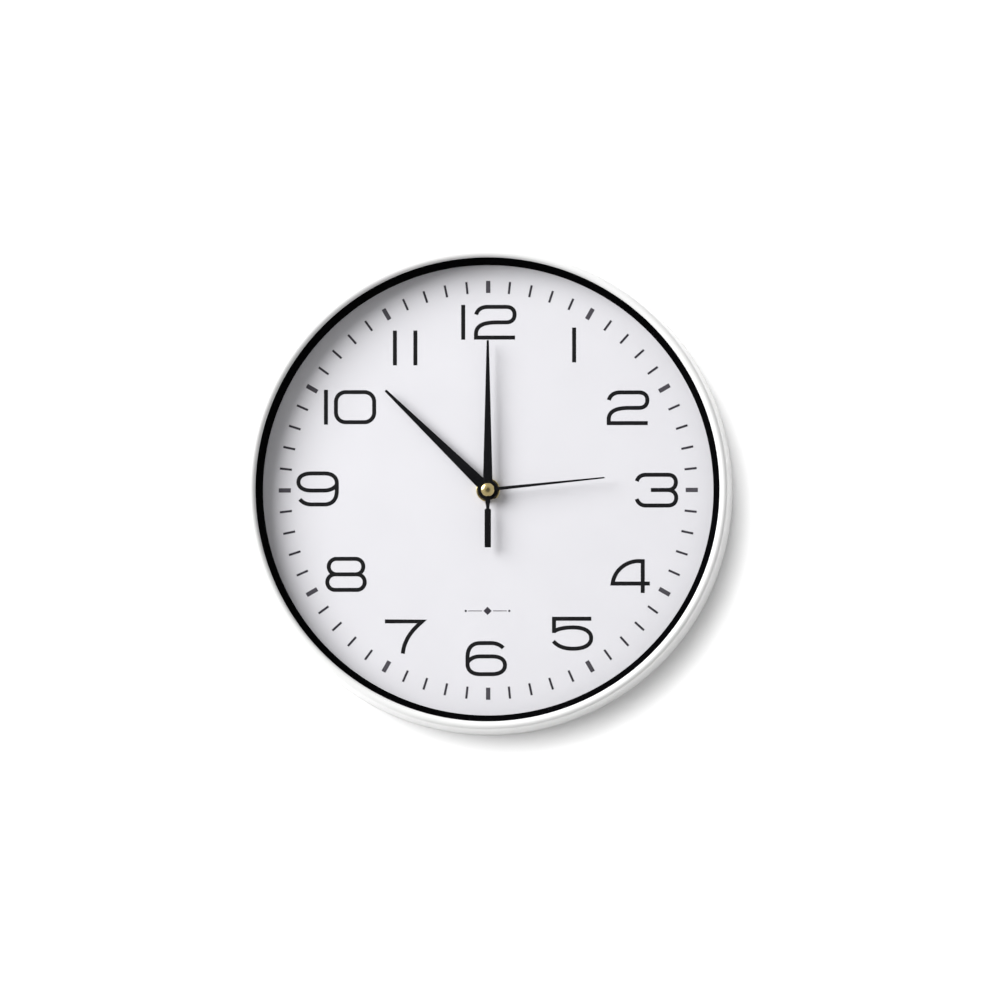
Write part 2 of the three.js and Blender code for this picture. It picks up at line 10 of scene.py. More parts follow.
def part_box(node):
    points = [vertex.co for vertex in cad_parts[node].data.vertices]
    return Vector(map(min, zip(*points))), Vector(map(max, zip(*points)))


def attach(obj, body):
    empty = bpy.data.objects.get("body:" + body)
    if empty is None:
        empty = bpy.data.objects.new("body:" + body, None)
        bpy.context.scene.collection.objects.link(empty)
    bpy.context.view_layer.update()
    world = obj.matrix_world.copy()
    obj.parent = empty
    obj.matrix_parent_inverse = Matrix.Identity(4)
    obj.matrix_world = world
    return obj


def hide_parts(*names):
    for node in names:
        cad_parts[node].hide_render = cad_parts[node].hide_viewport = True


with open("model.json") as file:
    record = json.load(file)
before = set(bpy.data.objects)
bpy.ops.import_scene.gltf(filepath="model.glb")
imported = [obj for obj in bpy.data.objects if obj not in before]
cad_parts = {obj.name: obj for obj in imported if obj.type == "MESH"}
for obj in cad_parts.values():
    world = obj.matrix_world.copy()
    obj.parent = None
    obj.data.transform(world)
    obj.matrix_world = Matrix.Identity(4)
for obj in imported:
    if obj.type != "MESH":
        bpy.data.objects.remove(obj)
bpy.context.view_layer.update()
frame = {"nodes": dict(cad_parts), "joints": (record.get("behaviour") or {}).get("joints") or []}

# Wall clock. The frame brings every piece at its place; this file gives the ones that show a fine shape
# and all of them a finish. Shapes are drawn in millimetres as seen from the front: x to the right, y up
# from the hand axis, z out from the wall. toRow turns that into the frame's metres.

scene = bpy.context.scene
joints = {joint["name"]: joint for joint in frame["joints"]}
handAxis = Vector(joints["minute_spin"]["pos_m"])
toRow = (
    Matrix.Translation((handAxis.x, 0, handAxis.z))
    @ Matrix.Rotation(math.pi / 2, 4, "X")
    @ Matrix.Scale(0.001, 4)
)


def depths(node):
    low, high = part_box(node)  # how far a node reaches out from the wall, rear and front, in mm
    return -high.y * 1000, -low.y * 1000


def reach(node):
    low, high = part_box(node)
    return (high.x - low.x) * 500  # half a node's width, in mm


def smoothed(mesh, angle=32):
    # smooth shading, but faces square to the clock's axis stay flat so that plates show no streaks
    mesh.shade_smooth()
    mesh.set_sharp_from_angle(angle=math.radians(angle))  # this clears flat faces, so they come after it
    for face in mesh.polygons:
        face.use_smooth = abs(face.normal.z) < 0.9999
    return mesh


def welded(mesh, distance=0.0005):
    work = bmesh.new()
    work.from_mesh(mesh)
    bmesh.ops.remove_doubles(work, verts=work.verts, dist=distance)
    bmesh.ops.dissolve_degenerate(work, edges=work.edges, dist=distance)
    bmesh.ops.recalc_face_normals(work, faces=work.faces)
    work.to_mesh(mesh)
    work.free()
    return mesh


def filleted(points, steps=4, closed=True):
    # rounds the corners of an outline: each point is (x, y) or (x, y, radius)
    result = []
    count = len(points)
    for i, point in enumerate(points):
        here = Vector(point[:2])
        radius = point[2] if len(point) > 2 else 0
        if radius <= 0 or (not closed and i in (0, count - 1)):
            result.append(tuple(here))
            continue
        before = (Vector(points[i - 1][:2]) - here).normalized()
        after = (Vector(points[(i + 1) % count][:2]) - here).normalized()
        half = before.angle(after) / 2
        run = radius / math.tan(half)
        centre = here + (before + after).normalized() * (radius / math.sin(half))
        start = here + before * run - centre
        end = here + after * run - centre
        sweep = start.angle_signed(end)
        for k in range(steps + 1):
            turn = -sweep * k / steps
            spin = Matrix.Rotation(turn, 2)
            result.append(tuple(centre + spin @ start))
    return result


def latheMesh(profile, segments=96, closed=True, middle=(0, 0)):
    # turns (radius, z) pairs about the z axis; an open profile starts and ends on the axis
    work = bmesh.new()
    rings = []
    for radius, z in profile:
        if radius < 1e-6:
            rings.append([work.verts.new((middle[0], middle[1], z))])
            continue
        ring = []
        for k in range(segments):
            turn = 2 * math.pi * k / segments
            spot = (middle[0] + radius * math.cos(turn), middle[1] + radius * math.sin(turn), z)
            ring.append(work.verts.new(spot))
        rings.append(ring)
    pairs = list(zip(rings, rings[1:]))
    if closed:
        pairs.append((rings[-1], rings[0]))
    for low, high in pairs:
        for k in range(segments):
            n = (k + 1) % segments
            if len(low) == 1:
                work.faces.new((low[0], high[n], high[k]))
            elif len(high) == 1:
                work.faces.new((low[k], low[n], high[0]))
            else:
                work.faces.new((low[k], low[n], high[n], high[k]))
    bmesh.ops.recalc_face_normals(work, faces=work.faces)
    mesh = bpy.data.meshes.new("lathe")
    work.to_mesh(mesh)
    work.free()
    return mesh


def plateMesh(loops, rear, front, edge=0.0):
    # a flat plate from an outline and its holes, with its edges rounded over by edge
    curve = bpy.data.curves.new("plate", "CURVE")
    curve.dimensions = "2D"
    curve.fill_mode = "BOTH"
    curve.extrude = (front - rear) / 2 - edge
    curve.bevel_depth = edge
    curve.bevel_resolution = 2
    curve.offset = -edge
    for number, loop in enumerate(loops):
        area = sum(a[0] * b[1] - b[0] * a[1] for a, b in zip(loop, loop[1:] + loop[:1]))
        clockwise = area < 0
        points = loop if clockwise == (number == 0) else loop[::-1]
        spline = curve.splines.new("POLY")
        spline.points.add(len(points) - 1)
        for point, (x, y) in zip(spline.points, points):
            point.co = (x, y, 0, 1)
        spline.use_cyclic_u = True
    holder = bpy.data.objects.new("plate", curve)
    scene.collection.objects.link(holder)
    mesh = bpy.data.meshes.new_from_object(holder.evaluated_get(bpy.context.evaluated_depsgraph_get()))
    bpy.data.objects.remove(holder)
    bpy.data.curves.remove(curve)
    mesh.transform(Matrix.Translation((0, 0, (rear + front) / 2)))
    return welded(mesh)


def joined(*meshes):
    work = bmesh.new()
    for mesh in meshes:
        work.from_mesh(mesh)
    mesh = bpy.data.meshes.new("joined")
    work.to_mesh(mesh)
    work.free()
    return mesh


def combined(first, others, operation):
    # exact boolean of meshes, one after another
    body = bpy.data.objects.new("body", first)
    scene.collection.objects.link(body)
    for other in others:
        tool = bpy.data.objects.new("tool", other)
        scene.collection.objects.link(tool)
        step = body.modifiers.new("step", "BOOLEAN")
        step.operation = operation
        step.solver = "EXACT"
        step.object = tool
        result = bpy.data.meshes.new_from_object(body.evaluated_get(bpy.context.evaluated_depsgraph_get()))
        body.modifiers.remove(step)
        body.data = result
        bpy.data.objects.remove(tool)
    result = body.data
    bpy.data.objects.remove(body)
    return welded(result)


def circle(radius, x=0.0, y=0.0, segments=48):
    turns = [2 * math.pi * k / segments for k in range(segments)]
    return [(x + radius * math.cos(turn), y + radius * math.sin(turn)) for turn in turns]


def rectangle(x0, x1, y0, y1, radius=0.0, steps=5):
    corners = [(x0, y0, radius), (x1, y0, radius), (x1, y1, radius), (x0, y1, radius)]
    return filleted(corners, steps)


def boxMesh(x0, x1, y0, y1, z0, z1, edge=0.0, corner=0.0):
    return plateMesh([rectangle(x0, x1, y0, y1, corner)], z0, z1, edge)


def rodMesh(radius, z0, z1, x=0.0, y=0.0, edge=0.1, segments=32):
    profile = filleted([(0, z0), (radius, z0, edge), (radius, z1, edge), (0, z1)], 3, closed=False)
    return latheMesh(profile, segments, closed=False, middle=(x, y))


def lyingAlongX(mesh, y, z):
    # a shape turned about z is laid down with its axis along x, through (y, z)
    mesh.transform(Matrix.Translation((0, y, z)) @ Matrix.Rotation(math.pi / 2, 4, "Y"))
    return mesh


def addPiece(name, mesh, body, material, replacing=()):
    smoothed(mesh)
    mesh.transform(toRow)
    mesh.name = name
    mesh.materials.clear()
    mesh.materials.append(material)
    piece = bpy.data.objects.new(name, mesh)
    scene.collection.objects.link(piece)
    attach(piece, body)
    if replacing:
        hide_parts(*replacing)
    return piece


def newFinish(name, colour, roughness, **sockets):
    material = bpy.data.materials.new(name)
    material.use_nodes = True
    shader = material.node_tree.nodes["Principled BSDF"]
    shader.inputs["Base Color"].default_value = (*colour, 1)
    shader.inputs["Roughness"].default_value = roughness
    for socket, value in sockets.items():
        shader.inputs[socket.replace("_", " ")].default_value = value
    return material


def texture(material, kind, scale, middle=(0, 0, 0), stretch=(1, 1, 1), **settings):
    # a texture in the piece's own metres, centred on middle
    nodes, links = material.node_tree.nodes, material.node_tree.links
    coordinates = nodes.new("ShaderNodeTexCoord")
    mapping = nodes.new("ShaderNodeMapping")
    mapping.vector_type = "TEXTURE"
    mapping.inputs["Location"].default_value = middle
    mapping.inputs["Scale"].default_value = stretch
    links.new(coordinates.outputs["Object"], mapping.inputs["Vector"])
    node = nodes.new(kind)
    node.inputs["Scale"].default_value = scale
    for key, value in settings.items():
        if key in node.inputs:
            node.inputs[key].default_value = value
        else:
            setattr(node, key, value)
    links.new(mapping.outputs["Vector"], node.inputs["Vector"])
    return node


def ramp(material, source, low, high, start=0.3, end=0.7):
    # a colour ramp fed by a texture, from low to high
    nodes, links = material.node_tree.nodes, material.node_tree.links
    node = nodes.new("ShaderNodeValToRGB")
    node.color_ramp.elements[0].position = start
    node.color_ramp.elements[1].position = end
    node.color_ramp.elements[0].color = (*low, 1)
    node.color_ramp.elements[1].color = (*high, 1)
    links.new(source, node.inputs["Fac"])
    return node.outputs["Color"]


def tint(material, source, low, high, start=0.3, end=0.7):
    colour = ramp(material, source, low, high, start, end)
    material.node_tree.links.new(colour, material.node_tree.nodes["Principled BSDF"].inputs["Base Color"])


def sheen(material, source, low, high):
    # roughness that wanders between low and high
    nodes, links = material.node_tree.nodes, material.node_tree.links
    node = nodes.new("ShaderNodeMapRange")
    node.inputs["To Min"].default_value = low
    node.inputs["To Max"].default_value = high
    links.new(source, node.inputs["Value"])
    links.new(node.outputs["Result"], nodes["Principled BSDF"].inputs["Roughness"])


def relief(material, source, strength, distance):
    nodes, links = material.node_tree.nodes, material.node_tree.links
    node = nodes.new("ShaderNodeBump")
    node.inputs["Strength"].default_value = strength
    node.inputs["Distance"].default_value = distance
    links.new(source, node.inputs["Height"])
    links.new(node.outputs["Normal"], nodes["Principled BSDF"].inputs["Normal"])


def mouldedFinish(name, colour, darker, rough, grain, depth, **sockets):
    # injection moulded plastic: cloudy colour, uneven gloss and a fine surface grain
    material = newFinish(name, colour, rough[0], **sockets)
    cloud = texture(material, "ShaderNodeTexNoise", 35, Detail=3)
    fine = texture(material, "ShaderNodeTexNoise", grain, Detail=2)
    tint(material, cloud.outputs["Fac"], darker, colour)
    sheen(material, cloud.outputs["Fac"], *rough)
    relief(material, fine.outputs["Fac"], 0.35, depth)
    return material


def metalFinish(name, colour, darker, rough, stretch=(1, 1, 1)):
    # sheet metal and plating: a fine grain, drawn out along a rolled sheet by stretch
    material = newFinish(name, colour, rough[0], Metallic=1.0)
    streaks = texture(material, "ShaderNodeTexNoise", 900, stretch=stretch, Detail=3)
    tint(material, streaks.outputs["Fac"], darker, colour)
    sheen(material, streaks.outputs["Fac"], *rough)
    relief(material, streaks.outputs["Fac"], 0.12, 0.00002)
    return material


def turnedMetal(name, middle, colour, darker, rough):
    # metal from the lathe: fine rings round the frame's y axis through middle
    material = newFinish(name, colour, rough[0], Metallic=1.0)
    rings = texture(material, "ShaderNodeTexWave", 1400, middle, wave_type="RINGS", rings_direction="Y",
                    Distortion=0.4, Detail=1)
    cloud = texture(material, "ShaderNodeTexNoise", 260, Detail=3)
    tint(material, cloud.outputs["Fac"], darker, colour)
    sheen(material, cloud.outputs["Fac"], *rough)
    relief(material, rings.outputs["Fac"], 0.06, 0.00001)
    return material


def lensFinish(settings):
    # clear lens: light passes straight through, and the face only mirrors a little
    material = bpy.data.materials.new("clearLens")
    material.use_nodes = True
    nodes, links = material.node_tree.nodes, material.node_tree.links
    nodes.remove(nodes["Principled BSDF"])
    clear = nodes.new("ShaderNodeBsdfTransparent")
    clear.inputs["Color"].default_value = (*settings["colour"], 1)
    mirror = nodes.new("ShaderNodeBsdfGlossy")
    mirror.inputs["Roughness"].default_value = settings["roughness"]
    facing = nodes.new("ShaderNodeLayerWeight")
    facing.inputs["Blend"].default_value = 0.5
    steep = nodes.new("ShaderNodeMath")
    steep.operation = "POWER"
    steep.inputs[1].default_value = settings["steepness"]
    share = nodes.new("ShaderNodeMath")
    share.operation = "MULTIPLY_ADD"
    share.inputs[1].default_value = settings["edgeMirror"] - settings["mirror"]
    share.inputs[2].default_value = settings["mirror"]
    links.new(facing.outputs["Facing"], steep.inputs[0])
    links.new(steep.outputs["Value"], share.inputs[0])
    smear = texture(material, "ShaderNodeTexNoise", 60, Detail=2)
    bump = nodes.new("ShaderNodeBump")
    bump.inputs["Strength"].default_value = settings["ripple"]
    bump.inputs["Distance"].default_value = 0.0001
    mix = nodes.new("ShaderNodeMixShader")
    links.new(smear.outputs["Fac"], bump.inputs["Height"])
    links.new(bump.outputs["Normal"], mirror.inputs["Normal"])
    links.new(share.outputs["Value"], mix.inputs["Fac"])
    links.new(clear.outputs["BSDF"], mix.inputs[1])
    links.new(mirror.outputs["BSDF"], mix.inputs[2])
    links.new(mix.outputs["Shader"], nodes["Material Output"].inputs["Surface"])
    return material


lensGlass = {"colour": (0.992, 0.992, 0.992), "roughness": 0.02, "mirror": 0.012, "edgeMirror": 0.8,
             "steepness": 5, "ripple": 0.004}
mouldedLooks = {
    "whiteCase": {"colour": (0.75, 0.75, 0.745), "darker": (0.73, 0.73, 0.725), "rough": (0.26, 0.34),
                  "grain": 1800, "depth": 0.00002, "Coat_Weight": 0.15},
    "whiteCover": {"colour": (0.70, 0.70, 0.69), "darker": (0.68, 0.68, 0.67), "rough": (0.5, 0.62),
                   "grain": 2600, "depth": 0.00008},
    "blackRing": {"colour": (0.0022, 0.0022, 0.0026), "darker": (0.001, 0.001, 0.0012), "rough": (0.34, 0.46),
                  "grain": 1600, "depth": 0.00002, "Specular_IOR_Level": 0.0},
    "dialSheet": {"colour": (0.72, 0.715, 0.745), "darker": (0.705, 0.70, 0.73), "rough": (0.55, 0.65),
                  "grain": 3200, "depth": 0.00001, "Specular_IOR_Level": 0.1},
    "inkBlack": {"colour": (0.006, 0.006, 0.007), "darker": (0.004, 0.004, 0.005), "rough": (0.5, 0.6),
                 "grain": 2500, "depth": 0.00001, "Specular_IOR_Level": 0.15},
    "inkGrey": {"colour": (0.075, 0.07, 0.082), "darker": (0.06, 0.056, 0.066), "rough": (0.5, 0.6),
                "grain": 2500, "depth": 0.00001, "Specular_IOR_Level": 0.15},
    "inkSoft": {"colour": (0.045, 0.04, 0.05), "darker": (0.035, 0.032, 0.04), "rough": (0.5, 0.6),
                "grain": 2500, "depth": 0.00001, "Specular_IOR_Level": 0.15},
    "handPaint": {"colour": (0.0045, 0.0045, 0.0055), "darker": (0.003, 0.003, 0.004), "rough": (0.38, 0.5),
                  "grain": 2200, "depth": 0.00002, "Specular_IOR_Level": 0.1},
    "movementShell": {"colour": (0.016, 0.017, 0.019), "darker": (0.010, 0.011, 0.012), "rough": (0.45, 0.6),
                      "grain": 2600, "depth": 0.00008, "Specular_IOR_Level": 0.35},
    "knobPlastic": {"colour": (0.028, 0.029, 0.031), "darker": (0.02, 0.02, 0.022), "rough": (0.4, 0.5),
                    "grain": 2200, "depth": 0.00004},
    "acetal": {"colour": (0.78, 0.75, 0.66), "darker": (0.72, 0.69, 0.60), "rough": (0.38, 0.5),
               "grain": 1500, "depth": 0.00002},
    "softRubber": {"colour": (0.012, 0.012, 0.012), "darker": (0.008, 0.008, 0.008), "rough": (0.75, 0.9),
                   "grain": 2000, "depth": 0.00006},
    "boardResin": {"colour": (0.02, 0.13, 0.05), "darker": (0.015, 0.09, 0.035), "rough": (0.4, 0.55),
                   "grain": 900, "depth": 0.00004},
    "magnet": {"colour": (0.05, 0.05, 0.055), "darker": (0.035, 0.035, 0.04), "rough": (0.5, 0.65),
               "grain": 3000, "depth": 0.00005, "Metallic": 0.6},
}
turnedLooks = {
    "brass": {"colour": (0.86, 0.71, 0.36), "darker": (0.78, 0.62, 0.28), "rough": (0.16, 0.26)},
}
metalLooks = {
    "nickel": {"colour": (0.66, 0.65, 0.62), "darker": (0.56, 0.55, 0.52), "rough": (0.22, 0.36)},
    "zincPlate": {"colour": (0.62, 0.63, 0.64), "darker": (0.5, 0.51, 0.53), "rough": (0.28, 0.42)},
    "stampedSteel": {"colour": (0.55, 0.55, 0.56), "darker": (0.45, 0.45, 0.46), "rough": (0.3, 0.45),
                     "stretch": (6, 1, 1)},
}
finishes = {name: mouldedFinish(name, **look) for name, look in mouldedLooks.items()}
finishes.update({name: turnedMetal(name, handAxis, **look) for name, look in turnedLooks.items()})
finishes.update({name: metalFinish(name, **look) for name, look in metalLooks.items()})
finishes["lens"] = lensFinish(lensGlass)


def windingFinish():
    # fine turns of wire side by side along the coil, with painted shade: the colour is darker in the grooves
    # between turns
    material = newFinish("copperWinding", (0.55, 0.2, 0.08), 0.35, Metallic=0.9)
    turns = texture(material, "ShaderNodeTexWave", 1800, bands_direction="X", Distortion=0.2)
    # painted shade: the wave that raises each turn also darkens the colour in the grooves between turns
    tint(material, turns.outputs["Fac"], (0.32, 0.1, 0.04), (0.62, 0.25, 0.1), 0.2, 0.8)
    relief(material, turns.outputs["Fac"], 0.6, 0.00004)
    return material


def sleeveFinish(settings):
    # the cell's printed sleeve: a metallic cap colour at the plus end and a dark body, with no lettering
    material = newFinish("cellSleeve", settings["body"], 0.28, Metallic=0.35, Coat_Weight=0.5)
    nodes, links = material.node_tree.nodes, material.node_tree.links
    coordinates = nodes.new("ShaderNodeTexCoord")
    split = nodes.new("ShaderNodeSeparateXYZ")
    along = nodes.new("ShaderNodeMapRange")
    along.inputs["From Min"].default_value = settings["bandStart"]
    along.inputs["From Max"].default_value = settings["bandStart"] + 0.0003
    blendIn = nodes.new("ShaderNodeMix")
    blendIn.data_type = "RGBA"
    speck = texture(material, "ShaderNodeTexNoise", 700, Detail=2)
    body = ramp(material, speck.outputs["Fac"], settings["shade"], settings["body"])
    links.new(coordinates.outputs["Object"], split.inputs["Vector"])
    links.new(split.outputs["X"], along.inputs["Value"])
    links.new(along.outputs["Result"], blendIn.inputs["Factor"])
    links.new(body, blendIn.inputs["A"])
    blendIn.inputs["B"].default_value = (*settings["band"], 1)
    links.new(blendIn.outputs["Result"], nodes["Principled BSDF"].inputs["Base Color"])
    relief(material, speck.outputs["Fac"], 0.05, 0.00001)
    return material


cellSleeve = {"body": (0.03, 0.07, 0.17), "shade": (0.02, 0.05, 0.13), "band": (0.62, 0.36, 0.14),
              "bandStart": 0.011}
finishes["copperWinding"] = windingFinish()
finishes["cellSleeve"] = sleeveFinish(cellSleeve)
print("finishes:", len(finishes))


wallPlan = {"hole": 0.151, "middle": 0.4, "reach": 2.5, "gap": 0.0001, "segments": 128,
            "colour": (0.93, 0.93, 0.93)}


def makeWall():
    # a wall that shows from the room side only, with a hole behind the case so the back can be lit
    material = bpy.data.materials.new("wallPaint")
    material.use_nodes = True
    nodes, links = material.node_tree.nodes, material.node_tree.links
    nodes.remove(nodes["Principled BSDF"])
    paint = nodes.new("ShaderNodeBsdfDiffuse")
    paint.inputs["Color"].default_value = (*wallPlan["colour"], 1)
    clear = nodes.new("ShaderNodeBsdfTransparent")
    side = nodes.new("ShaderNodeNewGeometry")
    mix = nodes.new("ShaderNodeMixShader")
    links.new(side.outputs["Backfacing"], mix.inputs["Fac"])
    links.new(paint.outputs["BSDF"], mix.inputs[1])
    links.new(clear.outputs["BSDF"], mix.inputs[2])
    links.new(mix.outputs["Shader"], nodes["Material Output"].inputs["Surface"])
    work = bmesh.new()
    segments = wallPlan["segments"]
    rings = []
    for radius in (wallPlan["hole"], wallPlan["middle"], wallPlan["reach"]):
        ring = []
        for k in range(segments):
            turn = 2 * math.pi * k / segments
            right, up = radius * math.cos(turn), radius * math.sin(turn)
            ring.append(work.verts.new((handAxis.x + right, wallPlan["gap"], handAxis.z + up)))
        rings.append(ring)
    for low, high in zip(rings, rings[1:]):
        for k in range(segments):
            n = (k + 1) % segments
            work.faces.new((low[k], high[k], high[n], low[n]))
    mesh = bpy.data.meshes.new("wall")
    work.to_mesh(mesh)
    work.free()
    if mesh.polygons[0].normal.y > 0:
        mesh.flip_normals()
    mesh.materials.append(material)
    wall = bpy.data.objects.new("wall", mesh)
    scene.collection.objects.link(wall)
    return wall


def aim(thing, target):
    thing.rotation_euler = (target - thing.location).to_track_quat("-Z", "Y").to_euler()


def makeLight(name, place, target, size, power):
    data = bpy.data.lights.new(name, "AREA")
    data.shape = "DISK"
    data.size = size
    data.energy = power
    light = bpy.data.objects.new(name, data)
    light.location = place
    scene.collection.objects.link(light)
    aim(light, target)
    return light


lighting = {
    "target": Vector((handAxis.x, -0.02, handAxis.z)),
    "side": {"way": (-1.21, -1.0, 0.70), "away": 4.4, "size": 3.2, "power": 326},
    "wall": {"way": (-0.36, -1.0, 0.35), "away": 4.4, "size": 3.5, "power": 322},
    "back": {"way": (-0.5, 1.0, 0.8), "away": 1.8, "size": 1.2, "power": 30},
    "world": (1.0, 1.0, 1.0), "worldStrength": 0.48, "card": 0.03, "cardEdge": (0.95, 0.982),
}


def makeLights(wall):
    # the side light shapes the clock and leaves the wall alone; the wall has a light of its own
    target = lighting["target"]
    lights = {}
    for name in ("side", "wall", "back"):
        plan = lighting[name]
        place = target + Vector(plan["way"]).normalized() * plan["away"]
        lights[name] = makeLight(name + "Light", place, target, plan["size"], plan["power"])
    for name, state in (("side", "EXCLUDE"), ("wall", "INCLUDE")):
        reached = bpy.data.collections.new(name + "LightReach")
        reached.objects.link(wall)
        reached.collection_objects[0].light_linking.link_state = state
        lights[name].light_linking.receiver_collection = reached
    world = bpy.data.worlds.new("studio")
    world.use_nodes = True
    nodes, links = world.node_tree.nodes, world.node_tree.links
    background = nodes["Background"]
    background.inputs["Color"].default_value = (*lighting["world"], 1)
    way = nodes.new("ShaderNodeTexCoord")
    split = nodes.new("ShaderNodeSeparateXYZ")
    card = nodes.new("ShaderNodeMapRange")  # a dark card out in front keeps glass and black pieces deep
    card.interpolation_type = "SMOOTHSTEP"
    card.inputs["From Min"].default_value = -lighting["cardEdge"][1]
    card.inputs["From Max"].default_value = -lighting["cardEdge"][0]
    card.inputs["To Min"].default_value = lighting["card"]
    card.inputs["To Max"].default_value = lighting["worldStrength"]
    links.new(way.outputs["Generated"], split.inputs["Vector"])
    links.new(split.outputs["Y"], card.inputs["Value"])
    links.new(card.outputs["Result"], background.inputs["Strength"])
    scene.world = world


viewpoint = {"azimuth": 1.7, "elevation": -2.2, "away": 7.6, "lens": 438.6, "sensor": 36.0,
             "aimRight": 0.0076, "aimUp": -0.0064}


def makeCamera():
    # a long lens, a little below the clock and to its right
    azimuth = math.radians(viewpoint["azimuth"])
    elevation = math.radians(viewpoint["elevation"])
    way = Vector((math.sin(azimuth) * math.cos(elevation), -math.cos(azimuth) * math.cos(elevation),
                  math.sin(elevation)))
    middle = Vector((handAxis.x + viewpoint["aimRight"], -0.03, handAxis.z + viewpoint["aimUp"]))
    data = bpy.data.cameras.new("camera")
    data.lens = viewpoint["lens"]
    data.sensor_width = viewpoint["sensor"]
    data.clip_end = 50
    camera = bpy.data.objects.new("camera", data)
    camera.location = middle + way * viewpoint["away"]
    scene.collection.objects.link(camera)
    aim(camera, middle)
    scene.camera = camera


makeLights(makeWall())
makeCamera()
scene.view_settings.view_transform = "Standard"
print("wall, lights and camera are set")


caseShape = {"wall": 2.6, "draft": 2.6, "innerDraft": 2.2, "rollRadius": 2.6, "rollSteps": 24, "lip": 1.1,
             "straight": 3.0, "segments": 240}


def makeCase():
    rear, front = depths("case_ring")
    rim, roll = reach("case_ring"), caseShape["rollRadius"]
    rollAt = rim - caseShape["draft"] - roll
    rollZ = front - roll
    innerRear = rim - caseShape["wall"]
    innerFront = innerRear - caseShape["innerDraft"]
    profile = [(innerRear, rear + 0.3), (innerRear + 0.3, rear), (rim - 0.5, rear), (rim, rear + 0.5)]
    profile += [(rim, caseShape["straight"])]
    for k in range(caseShape["rollSteps"] + 1):  # the rounded front edge
        turn = math.pi * k / caseShape["rollSteps"]
        profile.append((rollAt + roll * math.cos(turn), rollZ + roll * math.sin(turn)))
    lipZ = rollZ - caseShape["lip"]
    profile += [(rollAt - roll, lipZ + 0.2), (rollAt - roll + 0.2, lipZ), (innerFront, lipZ)]
    shell = latheMesh(profile, caseShape["segments"])
    addPiece("caseShell", shell, "case", finishes["whiteCase"], ["case_ring"])


lugShape = {"circle": 140.0, "half": 5.0, "outer": 150.2, "front": 22.1, "rear": 4.9, "pilot": 1.5}


def screwPlaces():
    for number in range(1, 7):
        turn = (number - 1) * math.pi / 3
        yield number, turn, lugShape["circle"] * math.cos(turn), lugShape["circle"] * math.sin(turn)


def makeLugs():
    # six blocks inside the wall that take the cover's screws
    lugs = []
    for number, turn, x, y in screwPlaces():
        half = lugShape["half"]
        outline = rectangle(lugShape["circle"] - half, lugShape["outer"], -half, half, 0.8)
        hole = circle(lugShape["pilot"], lugShape["circle"], 0, 20)
        lug = plateMesh([outline, hole], lugShape["rear"], lugShape["front"], 0.25)
        lug.transform(Matrix.Rotation(turn, 4, "Z"))
        lugs.append(lug)
    addPiece("screwLugs", joined(*lugs), "case", finishes["whiteCase"])


ringShape = {"face": 140.7, "foot": 1.8, "step": 1.4, "flange": 1.2, "front": 144.4}


def makeRing():
    # the black funnel between the dial's edge and the lens
    rear, front = depths("inner_ring")
    outer = reach("inner_ring")
    face, mouth = ringShape["face"], ringShape["front"]
    flangeRear = front - ringShape["flange"]
    profile = filleted([
        (face, rear), (face + ringShape["foot"], rear), (mouth + 0.7, flangeRear),
        (outer, flangeRear), (outer, front, 0.3), (mouth, front, 0.5),
        (face, rear + ringShape["step"], 0.6),
    ], 5)
    ring = latheMesh(profile, caseShape["segments"])
    addPiece("funnelRing", ring, "case", finishes["blackRing"], ["inner_ring"])


lensShape = {"edge": 0.4}


def makeLens():
    rear, front = depths("lens")
    pane = rodMesh(reach("lens"), rear, front, edge=lensShape["edge"], segments=caseShape["segments"])
    addPiece("lensPane", pane, "case", finishes["lens"], ["lens"])


makeCase()
makeLugs()
makeRing()
makeLens()
print("case, lugs, ring and lens are made")


dialPrint = {
    "ink": 0.05, "lift": 0.01, "overlap": 0.004, "stroke": 2.5,
    "markMiddle": 127.1, "markLength": 7.6, "hourWidth": 2.75, "minuteWidth": 1.4,
}
inkRear = depths("dial")[1] + dialPrint["lift"]


def inked(loops, extra=0.0):
    return plateMesh(loops, inkRear, inkRear + dialPrint["ink"] + extra)


def makeMarks():
    middle, half = dialPrint["markMiddle"], dialPrint["markLength"] / 2
    hours, minutes = [], []
    for number in range(60):
        onHour = number % 5 == 0
        width = dialPrint["hourWidth"] if onHour else dialPrint["minuteWidth"]
        mark = inked([rectangle(-width / 2, width / 2, middle - half, middle + half)])
        mark.transform(Matrix.Rotation(-number * math.pi / 30, 4, "Z"))
        (hours if onHour else minutes).append(mark)
    addPiece("hourMarks", joined(*hours), "case", finishes["inkGrey"])
    addPiece("minuteMarks", joined(*minutes), "case", finishes["inkSoft"])


def traced(start, *moves):
    # the middle line of a stroke: a move of one point is straight, a move of three is a Bezier curve
    line = [Vector(start)]
    for move in moves:
        if len(move) == 2 and not isinstance(move[0], tuple):
            line.append(Vector(move))
            continue
        knots = [line[-1].to_3d()] + [Vector(point).to_3d() for point in move]
        line += [point.to_2d() for point in interpolate_bezier(*knots, 15)[1:]]
    return line


def ribbon(line, width, loop=False):
    # the outline of a stroke of even width with square ends and mitred corners
    left, right = [], []
    count = len(line)
    for i, here in enumerate(line):
        before = line[i - 1] if (i or loop) else None
        after = line[(i + 1) % count] if (i < count - 1 or loop) else None
        ways = [(here - before).normalized()] if before is not None else []
        ways += [(after - here).normalized()] if after is not None else []
        way = sum(ways, Vector((0, 0))).normalized()
        across = Vector((-way.y, way.x))
        stretch = 1 / max(0.4, abs(way.dot(ways[0])))
        left.append(tuple(here + across * (width / 2 * stretch)))
        right.append(tuple(here - across * (width / 2 * stretch)))
    return [left, right] if loop else [left + right[::-1]]


def ringLine(x0, x1, y0, y1, radius):
    return [Vector(point) for point in rectangle(x0, x1, y0, y1, radius, 9)]


